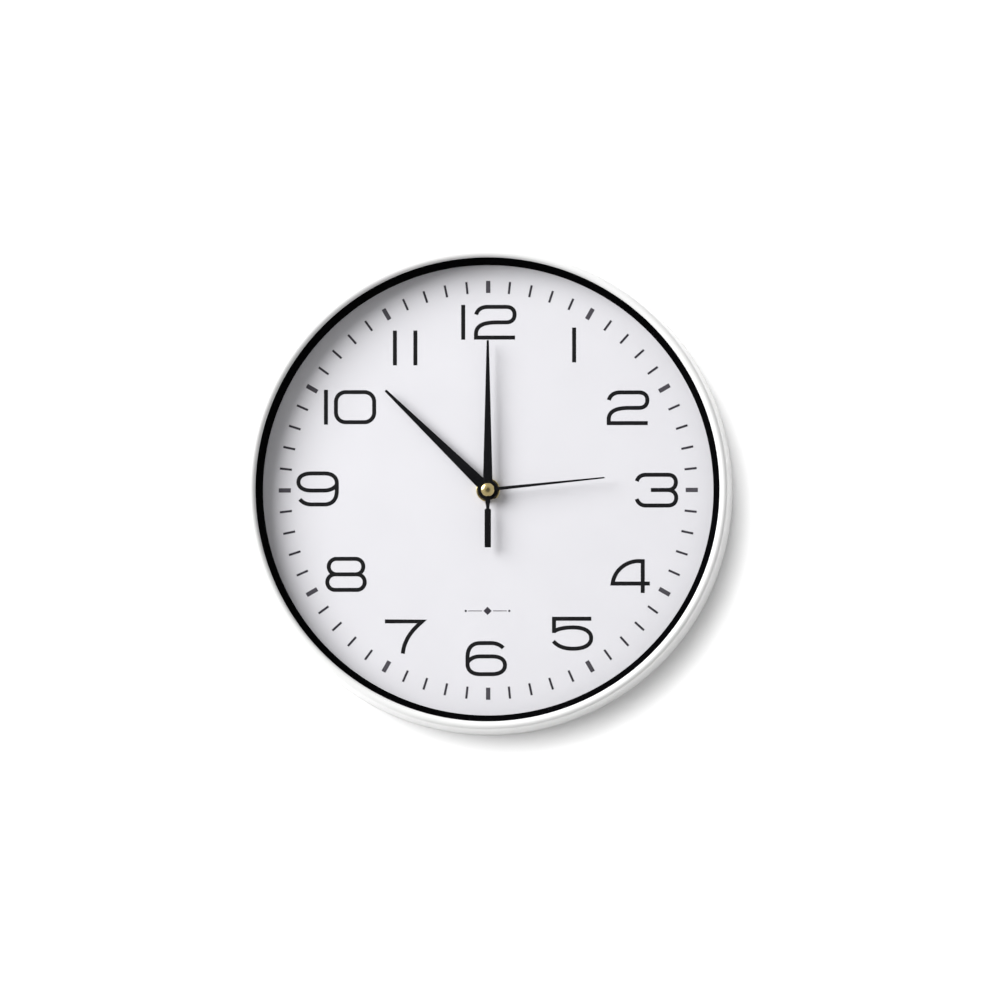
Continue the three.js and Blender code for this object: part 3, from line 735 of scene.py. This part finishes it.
# Each figure is a list of strokes, as middle lines in mm from the lower left corner of the figure. The
# places are the figures' middles from the hand axis, and the sizes are the widths and heights of their
# middle lines.
figures = {
    "1": {"size": (0, 19.8), "strokes": [traced((0, -1.0), (0, 20.8))]},
    "2": {"size": (24, 19.2), "strokes": [traced(
        (0.1, 14.4), ((0.9, 17.6), (3.6, 19.2), (7.2, 19.2)), (18.9, 19.2),
        ((22.2, 19.2), (24.1, 17.3), (24.1, 14.4)), ((24.1, 11.4), (22.2, 9.5), (18.9, 9.5)), (12.6, 9.5),
        ((4.6, 9.5), (0, 7.4), (0, 2.4)), (0, 0), (24.4, 0))]},
    "3": {"size": (24.6, 19.2), "strokes": [
        traced((0.1, 15.2), ((1.1, 18.0), (3.0, 19.2), (5.8, 19.2)), (19.4, 19.2),
               ((22.9, 19.2), (24.5, 17.2), (24.5, 14.5)), ((24.5, 11.7), (22.6, 9.7), (19.4, 9.7)),
               (8.9, 9.7)),
        traced((19.2, 9.7), ((22.8, 9.7), (24.7, 7.6), (24.7, 4.9)), ((24.7, 2.0), (22.9, 0), (19.5, 0)),
               (5.8, 0), ((3.0, 0), (1.1, 1.3), (0, 4.1)))]},
    "4": {"size": (23.2, 19.2), "strokes": [
        traced((19.0, -1.0), (19.0, 20.0)),
        traced((19.8, 18.9), (15.8, 18.9), ((8.6, 18.7), (1.2, 13.2), (0.2, 4.9)), (23.4, 4.9))]},
    "5": {"size": (23.2, 18.7), "strokes": [
        traced((23.3, 18.7), (0, 18.7), (0, 9.8)),
        traced((0.1, 10.9), ((3.0, 12.7), (7.2, 13.3), (12.0, 13.3)),
               ((19.0, 13.3), (23.2, 10.8), (23.2, 6.6)), ((23.2, 2.4), (19.0, 0), (12.0, 0)),
               ((6.2, 0), (2.2, 1.6), (-0.4, 4.7)))]},
    "6": {"size": (23.4, 19.4), "strokes": [
        traced((22.3, 16.3), ((20.4, 18.4), (17.8, 19.4), (14.4, 19.4)), (7.8, 19.4),
               ((2.8, 19.4), (0, 16.2), (0, 10.8)), (0, 6.4), ((0, 2.4), (2.9, 0), (7.8, 0)), (12.0, 0)),
        traced((11.4, 0), (15.4, 0), ((20.4, 0), (23.4, 2.2), (23.4, 5.6)),
               ((23.4, 9.0), (20.4, 11.1), (15.4, 11.1)), (7.8, 11.1),
               ((4.4, 11.1), (1.6, 9.8), (0.1, 7.4)))]},
    "7": {"size": (23.6, 19.2), "strokes": [
        traced((0, 19.2), (23.4, 19.2), ((17.8, 14.6), (12.0, 8.2), (11.2, -0.9)))]},
    "8": {"size": (23.4, 19.4), "rings": [
        ringLine(0.9, 22.5, 9.7, 19.4, 4.8),
        ringLine(0, 23.4, 0, 9.7, 4.8)]},
    "9": {"size": (24, 19.4), "strokes": [
        traced((0.9, 3.3), ((2.6, 1.1), (5.2, 0), (8.4, 0)), (16.4, 0), ((21.2, 0), (24, 3.2), (24, 8.4)),
               (24, 13.2), ((24, 17.0), (21.2, 19.4), (16.4, 19.4)), (12.0, 19.4)),
        traced((12.6, 19.4), (8.0, 19.4), ((3.2, 19.4), (0, 17.4), (0, 14.0)),
               ((0, 10.7), (3.2, 8.7), (8.0, 8.7)), (16.0, 8.7), ((19.6, 8.7), (22.4, 10.0), (23.9, 12.2)))]},
    "0": {"size": (23.9, 18.8), "rings": [ringLine(0, 23.9, 0, 18.8, 6.0)]},
}
figurePlaces = {
    12: (("1", -15.6, 105.0), ("2", 4.4, 105.0)), 1: (("1", 53.7, 90.7),), 2: (("2", 87.3, 51.4),),
    3: (("3", 105.0, -0.1),), 4: (("4", 89.1, -53.7),), 5: (("5", 52.7, -89.7),), 6: (("6", -1.2, -105.2),),
    7: (("7", -52.7, -91.5),), 8: (("8", -88.8, -52.5),), 9: (("9", -106.6, 0.9),),
    10: (("1", -101.4, 52.0), ("0", -83.2, 52.0)), 11: (("1", -58.3, 89.0), ("1", -45.5, 89.0)),
}


def figureMesh(name):
    figure = figures[name]
    width = dialPrint["stroke"]
    # strokes that cross lie at slightly different heights, so that they join cleanly
    parts = []
    for kind in ("strokes", "rings"):
        for k, line in enumerate(figure.get(kind, [])):
            parts.append(inked(ribbon(line, width, loop=kind == "rings"), dialPrint["overlap"] * k))
    mesh = parts[0] if len(parts) == 1 else combined(parts[0], parts[1:], "UNION")
    mesh.transform(Matrix.Translation((-figure["size"][0] / 2, -figure["size"][1] / 2, 0)))
    return mesh


def makeFigures():
    for hour, places in figurePlaces.items():
        meshes = []
        for name, x, y in places:
            mesh = figureMesh(name)
            mesh.transform(Matrix.Translation((x, y, 0)))
            meshes.append(mesh)
        addPiece(f"figure{hour}", joined(*meshes), "case", finishes["inkBlack"])


ornament = {"x": -0.4, "y": -75.4, "half": 12.0, "rule": 0.45, "diamond": 2.6, "gap": 0.9, "dot": 0.7,
            "dotGap": 1.6}


def makeOrnament():
    # a small printed rule with a diamond in the middle and a dot at each end
    x, y, half, rule = ornament["x"], ornament["y"], ornament["half"], ornament["rule"] / 2
    size = ornament["diamond"]
    gap = size + ornament["gap"]
    dotAt = half + ornament["dotGap"]
    parts = [inked([rectangle(x - half, x - gap, y - rule, y + rule)]),
             inked([rectangle(x + gap, x + half, y - rule, y + rule)]),
             inked([[(x - size, y), (x, y - size), (x + size, y), (x, y + size)]]),
             inked([circle(ornament["dot"], x - dotAt, y, 20)]),
             inked([circle(ornament["dot"], x + dotAt, y, 20)])]
    addPiece("dialOrnament", joined(*parts), "case", finishes["inkSoft"])


makeMarks()
makeFigures()
makeOrnament()
print("dial is printed")


handShapes = {
    "hour": {"length": 89.2, "base": 7.2, "tip": 1.6, "thick": 0.6, "edge": 0.12,
             "hub": 6.2, "bush": 3.9, "bore": 3.0, "turn": 314.2},
    "minute": {"length": 93.4, "base": 6.2, "tip": 1.4, "thick": 0.6, "edge": 0.12,
               "hub": 6.1, "bush": 2.8, "bore": 2.0, "turn": 0.0},
    "second": {"length": 73.3, "base": 2.2, "tip": 0.9, "thick": 0.4, "edge": 0.08,
               "hub": 2.8, "bush": 1.6, "bore": 0.95, "turn": 84.2},
}


def bladeLoop(shape):
    base, tip, length = shape["base"] / 2, shape["tip"] / 2, shape["length"]
    return filleted([(-base, 0), (base, 0), (tip, length, tip * 0.5), (-tip, length, tip * 0.5)], 3)


def makeHand(name, extra=()):
    # a flat blade on a round hub, bored through, with a bush behind it; extra holds further outlines
    shape = handShapes[name]
    edge, bush, bore = shape["edge"], shape["bush"], shape["bore"]
    rear, front = depths(f"{name}_hand")
    bladeRear = front - shape["thick"]
    parts = [plateMesh([loop], bladeRear, front, edge) for loop in (bladeLoop(shape), *extra)]
    hub = latheMesh(filleted([(bore, bladeRear), (shape["hub"], bladeRear, edge), (shape["hub"], front, edge),
                              (bore, front, edge)], 3), 64)
    bushFront = bladeRear + 0.2
    profile = filleted([(bore, rear), (bush, rear, 0.15), (bush, bushFront), (bore, bushFront)], 3)
    collar = latheMesh(profile, 48)
    tool = latheMesh([(0, rear - 1), (bore + 0.02, rear - 1), (bore + 0.02, front + 1), (0, front + 1)], 48,
                     closed=False)
    flat = combined(parts[0], [*parts[1:], hub], "UNION")
    mesh = joined(combined(flat, [tool], "DIFFERENCE"), collar)
    mesh.transform(Matrix.Rotation(-math.radians(shape["turn"]), 4, "Z"))
    addPiece(f"{name}HandBlade", mesh, name, finishes["handPaint"], [f"{name}_hand"])


minuteTail = {"neck": 2.6, "waist": 0.9, "waistAt": 11.6, "bar": 2.0, "end": 36.0}


def tailLoop():
    neck, waist, at = minuteTail["neck"], minuteTail["waist"], minuteTail["waistAt"]
    bar, end = minuteTail["bar"], minuteTail["end"]
    side = [(neck, 0), (waist, -at, 0.2), (bar, -at - 0.8, 0.5), (bar, -end, 0.2)]
    return filleted(side + [(-x, *rest) for x, *rest in side[::-1]], 3)


makeHand("hour")
makeHand("minute", [tailLoop()])
makeHand("second")

capShape = {"skirt": 0.35, "domeSteps": 16}


def makeCap():
    rear, front = depths("hub_cap")
    radius = reach("hub_cap")
    domeRear, steps = rear + capShape["skirt"], capShape["domeSteps"]
    profile = [(0, rear), (radius - 0.5, rear), (radius - 0.1, rear + 0.1), (radius, domeRear)]
    for k in range(1, steps):
        turn = math.pi / 2 * k / steps
        profile.append((radius * math.cos(turn), domeRear + (front - domeRear) * math.sin(turn)))
    profile.append((0, front))
    dome = latheMesh(profile, 96, closed=False)
    addPiece("capDome", dome, "second", finishes["brass"], ["hub_cap"])


nutShape = {"bore": 4.3, "radius": 7.4, "acrossFlats": 12.4, "turn": 15}


def makeNut():
    # the washer and the nut with two flats that clamp the dial
    bore = nutShape["bore"]
    rear, front = depths("brass_washer")
    outer = reach("brass_washer")
    profile = filleted([(bore, rear), (outer, rear, 0.1), (outer, front, 0.15), (bore, front, 0.1)], 3)
    addPiece("dialWasher", latheMesh(profile, 96), "case", finishes["brass"], ["brass_washer"])
    rear, front = depths("dial_nut")
    radius, flat = nutShape["radius"], nutShape["acrossFlats"] / 2
    profile = filleted([(bore, rear), (radius, rear, 0.15), (radius, front, 0.4), (bore + 0.4, front, 0.1),
                        (bore, front - 0.4)], 4)
    body = latheMesh(profile, 96)
    sides = [boxMesh(-9, 9, low, low + 4, rear - 1, front + 1) for low in (flat, -flat - 4)]
    nut = combined(body, sides, "DIFFERENCE")
    nut.transform(Matrix.Rotation(math.radians(nutShape["turn"]), 4, "Z"))
    addPiece("flatNut", nut, "case", finishes["brass"], ["dial_nut"])


bushShape = {"bore": 3.0, "collar": 5.5, "collarFront": 19.2, "neck": 3.75, "root": 3.6, "crest": 4.0,
             "threadRear": 20.0, "pitch": 0.75}


def makeBush():
    rear, front = depths("threaded_bushing")
    bore, collar, collarFront = bushShape["bore"], bushShape["collar"], bushShape["collarFront"]
    pitch, z = bushShape["pitch"], bushShape["threadRear"]
    profile = [(bore, rear), (collar, rear), (collar, collarFront), (bushShape["neck"], collarFront)]
    while z < front - pitch:  # the thread, as grooves of its pitch
        profile += [(bushShape["root"], z), (bushShape["crest"], z + pitch / 2)]
        z += pitch
    profile += [(bushShape["root"], front), (bore, front)]
    addPiece("threadedBush", latheMesh(profile, 64), "case", finishes["brass"], ["threaded_bushing"])


makeCap()
makeNut()
makeBush()
print("hands, cap, nut and bush are made")


coverShape = {"thick": 1.4, "rings": (66, 128), "ringWidth": 1.8, "ringHeight": 0.8,
              "window": 30.0, "windowRib": 3.0, "screwHole": 1.6,
              "keyTop": 112.0, "keyDrop": 10.0, "keySlot": 3.0, "keyHole": 6.0, "padHalf": 12.0}


def keyholeLoop():
    # a round hole for the nail's head, with a slot above it for its shank
    slot, hole, top = coverShape["keySlot"], coverShape["keyHole"], coverShape["keyTop"]
    middle = top - coverShape["keyDrop"]
    neck = math.asin(slot / hole)
    arch = circle(slot, 0, top, 32)[:17]
    bowl = []
    for k in range(33):
        turn = math.pi / 2 + neck + (2 * math.pi - 2 * neck) * k / 32
        bowl.append((hole * math.cos(turn), middle + hole * math.sin(turn)))
    return arch + bowl


def makeCover():
    rear, front = depths("back_cover")
    plateRear = rear + coverShape["thick"]
    padFront = plateRear + 0.2  # raised parts sink this far into the plate
    outer, top, padHalf = reach("back_cover"), coverShape["keyTop"], coverShape["padHalf"]
    half, rib = coverShape["window"], coverShape["windowRib"]
    window = rectangle(-half, half, -half, half, 2)
    holes = [circle(coverShape["screwHole"], x, y, 24) for number, turn, x, y in screwPlaces()]
    plate = plateMesh([circle(outer, segments=caseShape["segments"]), window, keyholeLoop(), *holes],
                      plateRear, front, 0.3)
    frameRib = plateMesh([rectangle(-half - rib, half + rib, -half - rib, half + rib, 5), window], rear,
                         padFront, 0.25)
    hangPad = plateMesh([rectangle(-padHalf, padHalf, top - 20, top + 9, 4), keyholeLoop()], rear, padFront,
                        0.25)
    rings = []
    for radius in coverShape["rings"]:
        foot, crown = coverShape["ringWidth"] / 2, coverShape["ringWidth"] / 2 - 0.3
        crownRear = plateRear - coverShape["ringHeight"]
        profile = filleted([(radius - foot, padFront), (radius + foot, padFront),
                            (radius + crown, crownRear, 0.3), (radius - crown, crownRear, 0.3)], 3)
        rings.append(latheMesh(profile, caseShape["segments"]))
    cover = joined(plate, frameRib, hangPad, *rings)
    addPiece("backPlate", cover, "case", finishes["whiteCover"], ["back_cover"])


screwShape = {"headRadius": 3.4, "headFront": 2.3, "neck": 1.2, "root": 0.95, "crest": 1.25, "pitch": 1.0,
              "slotHalf": 2.0, "slotWidth": 0.72, "slotDeep": 1.0}


def screwMesh(node):
    # a pan head with a cross slot and a coarse thread for plastic
    rear, front = depths(node)
    head, headFront, root = screwShape["headRadius"], screwShape["headFront"], screwShape["root"]
    profile = filleted([(0, rear), (2.2, rear, 1.2), (head, rear + 0.85, 0.3), (head, headFront, 0.1),
                        (screwShape["neck"], headFront)], 4, closed=False)
    z = headFront + 0.6
    while z < front - 1.2:
        profile += [(root, z), (screwShape["crest"], z + 0.35), (root, z + 0.7)]
        z += screwShape["pitch"]
    profile += [(0.9, front - 0.9), (0, front)]
    body = latheMesh(profile, 48, closed=False)
    cross = []
    half, wide = screwShape["slotHalf"], screwShape["slotWidth"] / 2
    for turn in (0, math.pi / 2):
        bar = plateMesh([rectangle(-half, half, -wide, wide)], rear - 1, rear + screwShape["slotDeep"])
        bar.transform(Matrix.Rotation(turn, 4, "Z"))
        cross.append(bar)
    return combined(body, cross, "DIFFERENCE")


def makeScrews():
    pattern = screwMesh("cover_screw_1")
    for number, turn, x, y in screwPlaces():
        mesh = pattern.copy()
        mesh.transform(Matrix.Translation((x, y, 0)) @ Matrix.Rotation(turn + 0.4 * number, 4, "Z"))
        node = f"cover_screw_{number}"
        addPiece(f"coverScrew{number}", mesh, "case", finishes["zincPlate"], [node])


makeCover()
makeScrews()
print("back cover and screws are made")


movementShape = {"half": 28.0, "corner": 3.0, "wall": 1.4, "shaftHole": 4.3, "notch": 8.0,
                 "bayLow": -27.1, "bayHigh": -11.6, "bayHalf": 27.0, "bayFloor": 0.9}


def makeMovement():
    rear, front = depths("movement_housing")
    half, wall = movementShape["half"], movementShape["wall"]
    low, high, bay = movementShape["bayLow"], movementShape["bayHigh"], movementShape["bayHalf"]
    shell = plateMesh([rectangle(-half, half, -half, half, movementShape["corner"])], rear, front, 0.4)
    room = boxMesh(-half + wall, half - wall, high + 1.2, half - wall, rear - 1, front - wall, 0, 1.5)
    trough = boxMesh(-bay, bay, low, high, rear - 1, front - movementShape["bayFloor"], 0, 0.6)
    hole = rodMesh(movementShape["shaftHole"], front - 4, front + 1, segments=48)
    notch = rodMesh(movementShape["notch"], rear - 1, front - 6, 0, -half - 2, segments=64)
    body = combined(shell, [room, trough, hole, notch], "DIFFERENCE")
    addPiece("movementBody", body, "case", finishes["movementShell"], ["movement_housing"])


lidShape = {"knobX": 18.45, "knobHole": 2.0, "slots": (-18, -12, -6), "slotHalf": 1.4,
            "panel": (-22.0, 6.0, -6.0, 14.0), "panelRim": 0.8,
            "pin": 1.6, "pinX": 24.6, "pinY": (24.4, -8.2)}


def makeLid():
    # the movement's lid, with the knob's rim, a raised frame, three slots and four pin heads
    rear, front = depths("movement_cover")
    half, knobX, slotHalf = movementShape["half"], lidShape["knobX"], lidShape["slotHalf"]
    outline = rectangle(-half, half, movementShape["bayHigh"] + 0.3, half, movementShape["corner"])
    holes = [circle(lidShape["knobHole"], knobX, 0, 32)]
    holes += [rectangle(x - slotHalf, x + slotHalf, 20, 22, 0.4, 3) for x in lidShape["slots"]]
    lid = plateMesh([outline, *holes], rear, front, 0.3)
    knobRing = latheMesh(filleted([(6.3, rear + 0.3), (7.3, rear + 0.3), (7.1, rear - 0.45, 0.2),
                                   (6.5, rear - 0.45, 0.2)], 3), 64, middle=(knobX, 0))
    x0, x1, y0, y1 = lidShape["panel"]
    rim = lidShape["panelRim"]
    inside = rectangle(x0 + rim, x1 - rim, y0 + rim, y1 - rim, 1.0)
    panel = plateMesh([rectangle(x0, x1, y0, y1, 1.5), inside], rear - 0.35, rear + 0.4, 0.12)
    pins = [rodMesh(lidShape["pin"], rear - 0.5, rear + 0.5, x, y, 0.3, 24)
            for y in lidShape["pinY"] for x in (-lidShape["pinX"], lidShape["pinX"])]
    addPiece("movementLid", joined(lid, knobRing, panel, *pins), "case", finishes["movementShell"],
             ["movement_cover"])


knobShape = {"ridges": 24, "ridge": 0.2, "dish": 4.2, "bore": 1.6, "gripHalf": 3.4, "gripWidth": 1.1}


def makeKnob():
    # the hand-setting wheel: a ridged edge, a dished face and a bar to turn it by
    rear, front = depths("setting_knob")
    radius, ridges, ridge = reach("setting_knob"), knobShape["ridges"], knobShape["ridge"]
    loop = []
    for k in range(ridges * 6):
        turn = 2 * math.pi * k / (ridges * 6)
        out = radius - ridge + ridge * math.cos(turn * ridges)
        loop.append((out * math.cos(turn), out * math.sin(turn)))
    wheel = plateMesh([loop], rear, front, 0.3)
    dishOut = knobShape["dish"]
    dish = latheMesh([(0, rear - 1), (dishOut, rear - 1), (dishOut - 0.6, rear + 0.5), (0, rear + 0.5)], 64,
                     closed=False)
    bore = rodMesh(knobShape["bore"], 3.7, front + 1, segments=32)
    wheel = combined(wheel, [dish, bore], "DIFFERENCE")
    half, wide = knobShape["gripHalf"], knobShape["gripWidth"] / 2
    grip = plateMesh([rectangle(-half, half, -wide, wide, 0.4)], rear + 0.1, rear + 0.9, 0.15)
    mesh = joined(wheel, grip)
    mesh.transform(Matrix.Translation((lidShape["knobX"], 0, 0)))
    addPiece("knobWheel", mesh, "setting", finishes["knobPlastic"], ["setting_knob"])


makeMovement()
makeLid()
makeKnob()


cellShape = {"shoulder": 0.9, "dimple": 0.35, "tipPlate": 4.6, "tip": 2.7}


def makeCell():
    low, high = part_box("battery_can")
    y = ((low.z + high.z) / 2 - handAxis.z) * 1000
    z = -(low.y + high.y) / 2 * 1000
    radius, x0, x1 = (high.z - low.z) * 500, low.x * 1000, high.x * 1000
    lip = cellShape["dimple"]
    profile = filleted([(0, x0 + lip), (radius - 2.2, x0 + lip, 0.2), (radius - 1.8, x0, 0.2),
                        (radius, x0, cellShape["shoulder"]), (radius, x1, cellShape["shoulder"]),
                        (radius - 1.4, x1, 0.2), (radius - 1.7, x1 - lip, 0.2), (0, x1 - lip)], 6,
                       closed=False)
    can = lyingAlongX(latheMesh(profile, 96, closed=False), y, z)
    addPiece("cellCan", can, "battery", finishes["cellSleeve"], ["battery_can"])
    low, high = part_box("battery_terminal")
    x0, x1 = low.x * 1000, high.x * 1000
    plate, tip = cellShape["tipPlate"], cellShape["tip"]
    profile = filleted([(0, x0), (plate, x0, 0.1), (plate, x0 + 0.4, 0.15), (tip + 0.05, x0 + 0.5, 0.2),
                        (tip, x1, 0.35), (0, x1)], 4, closed=False)
    button = lyingAlongX(latheMesh(profile, 64, closed=False), y, z)
    addPiece("cellTip", button, "battery", finishes["nickel"], ["battery_terminal"])
    return y, z


contactShape = {"half": 4.5, "rear": 8.0, "front": 19.4, "tabEnd": 10.8, "leaf": 0.4,
                "coilRadius": 3.4, "coilStep": 0.7, "coilRise": 0.34, "turns": 3, "wire": 0.19}


def makeContacts(y, z):
    # the plus leaf with its tab to the board, and the minus plate with its cone spring
    half, leafRear, leafFront = contactShape["half"], contactShape["rear"], contactShape["front"]
    low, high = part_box("positive_contact")
    x0, x1 = low.x * 1000, high.x * 1000
    tabEnd = y + contactShape["tabEnd"]
    leafOutline = filleted([(y - half, leafRear, 0.6), (y + half, leafRear, 0.3),
                            (tabEnd, leafRear - 0.4, 0.3), (tabEnd, leafRear + 1, 0.3),
                            (y + half + 0.4, leafRear + 1.4, 0.3), (y + half, leafFront, 0.6),
                            (y - half, leafFront, 0.6)], 3)
    # the contacts are drawn in (y, z) and are thick along x
    toSide = Matrix(((0, 0, 1, 0), (1, 0, 0, 0), (0, 1, 0, 0), (0, 0, 0, 1)))
    leaf = plateMesh([leafOutline], x0, x1, 0.1)
    leaf.transform(toSide)
    addPiece("plusLeaf", leaf, "case", finishes["nickel"], ["positive_contact"])
    low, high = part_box("negative_contact")
    x0, x1 = low.x * 1000, high.x * 1000
    plateOutline = rectangle(y - half, y + half, leafRear, leafFront, 0.8)
    plate = plateMesh([plateOutline], x0, x0 + contactShape["leaf"], 0.1)
    plate.transform(toSide)
    coils = []
    for k in range(contactShape["turns"]):  # each turn of the spring is a little narrower
        coilRadius = contactShape["coilRadius"] - contactShape["coilStep"] * k
        at = x0 + contactShape["leaf"] + 0.22 + contactShape["coilRise"] * k
        coils.append(lyingAlongX(latheMesh(circle(contactShape["wire"], coilRadius, at, 10), 48), y, z))
    addPiece("minusSpring", joined(plate, *coils), "case", finishes["nickel"], ["negative_contact"])


makeContacts(*makeCell())
print("movement and battery are made")


# the pieces that keep the frame's own shape get a finish
nodeFinishes = {
    "dialSheet": ("dial",), "softRubber": ("rubber_washer", "chip_cover"),
    "acetal": ("train_bridge", "coil_bobbin", "hour_wheel", "centre_wheel", "seconds_wheel",
               "intermediate_wheel", "third_wheel", "rotor_pinion", "reverse_wheel", "setting_pinion"),
    "stampedSteel": ("stator", "coil_core"), "copperWinding": ("coil_winding",),
    "boardResin": ("circuit_board",), "nickel": ("crystal_can",), "brass": ("minute_arbor",),
    "magnet": ("rotor_magnet",),
}
for finish, nodes in nodeFinishes.items():
    for node in nodes:
        for spot in frame["nodes"][node].material_slots:
            spot.material = finishes[finish]

print("pieces are finished")
